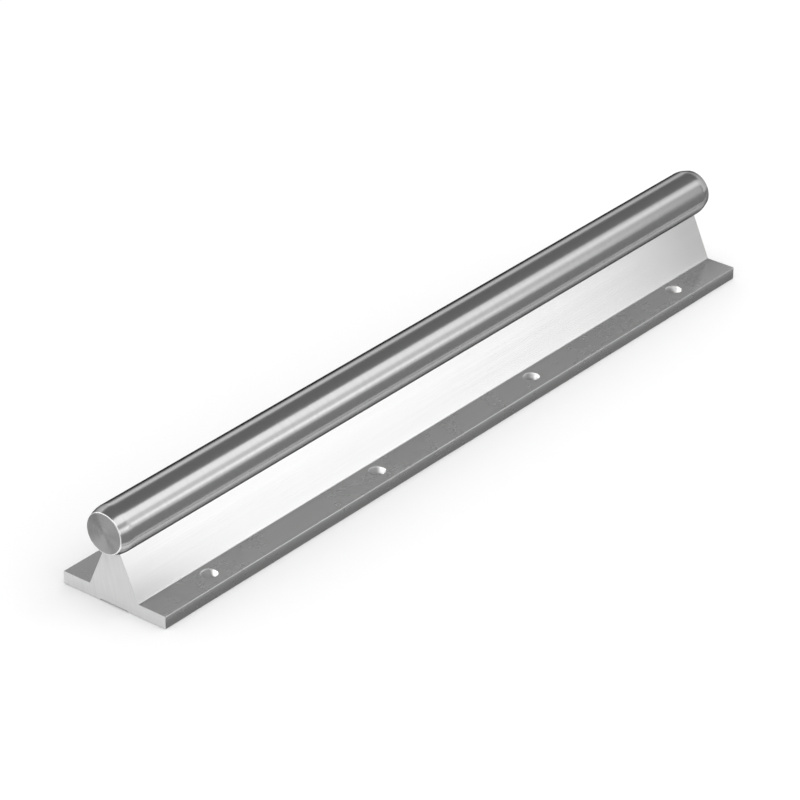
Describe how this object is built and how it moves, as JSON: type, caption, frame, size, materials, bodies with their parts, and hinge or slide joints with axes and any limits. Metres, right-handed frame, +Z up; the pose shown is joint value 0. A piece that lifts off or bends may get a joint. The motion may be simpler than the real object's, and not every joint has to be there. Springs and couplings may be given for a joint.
{
  "type": "tapped linear shaft on a support rail",
  "caption": "Round ground steel shaft, tapped from below and screwed to a flanged aluminium support rail with a sloping web; a way for open linear bearings.",
  "frame": {"origin": "under the middle of the rail's foot, on the plane that the rail stands on", "axes": "+X along the shaft, +Z up from the foot to the shaft, +Y across the foot"},
  "size_m": [0.375, 0.052, 0.0435],
  "materials": {
    "rail_aluminium": "extruded, fine lengthwise die lines, sawn ends",
    "shaft_steel": "ground and polished, bevelled and turned ends",
    "screw_steel": "black oxide"
  },
  "bodies": {
    "root": {"support_rail": "rail_aluminium", "shaft": "shaft_steel", "shaft_screw_1": "screw_steel", "shaft_screw_2": "screw_steel", "shaft_screw_3": "screw_steel", "shaft_screw_4": "screw_steel"}
  },
  "joints": []
}
